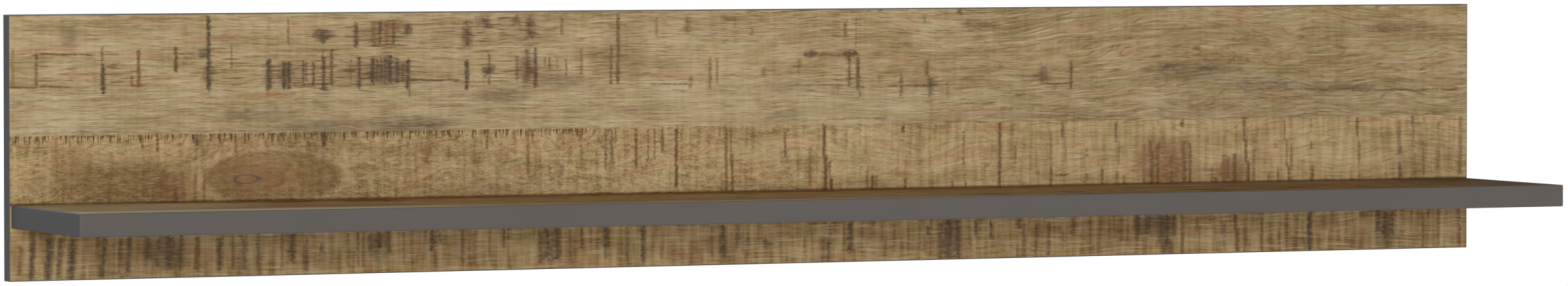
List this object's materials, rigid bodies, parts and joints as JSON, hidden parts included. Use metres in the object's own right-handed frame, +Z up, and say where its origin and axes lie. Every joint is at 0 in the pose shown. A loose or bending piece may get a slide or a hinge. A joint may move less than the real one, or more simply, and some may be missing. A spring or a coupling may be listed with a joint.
{
  "type": "wall shelf",
  "caption": "Long wall shelf: a tall decor-faced back panel with one shelf board standing out of its front, hung on concealed keyhole plates.",
  "frame": {"origin": "middle of the back panel's rear face, which lies against the wall", "axes": "+X along the shelf to its right-hand end as seen from the room, +Y into the wall, +Z up; the front faces -Y"},
  "size_m": [1.6, 0.215, 0.255],
  "materials": {
    "chipboard": "raw three-layer chipboard",
    "wood_decor": "matt melamine decor sheet, rough-sawn board print",
    "edge_band": "graphite grey edge band, fine matt grain",
    "beech": "plain beech",
    "zinc_plated_steel": "bright zinc plated"
  },
  "bodies": {
    "root": {"panel_board": "chipboard", "panel_front_decor": "wood_decor", "panel_rear_decor": "wood_decor", "panel_edge_band_top": "edge_band", "panel_edge_band_bottom": "edge_band", "panel_edge_band_left": "edge_band", "panel_edge_band_right": "edge_band", "shelf_board": "chipboard", "shelf_top_decor": "wood_decor", "shelf_underside_decor": "wood_decor", "shelf_edge_band_front": "edge_band", "shelf_edge_band_left": "edge_band", "shelf_edge_band_right": "edge_band", "connector_screws": "zinc_plated_steel", "joint_dowels": "beech", "hanger_plate_left": "zinc_plated_steel", "hanger_plate_screws_left": "zinc_plated_steel", "hanger_plate_right": "zinc_plated_steel", "hanger_plate_screws_right": "zinc_plated_steel"}
  },
  "joints": []
}
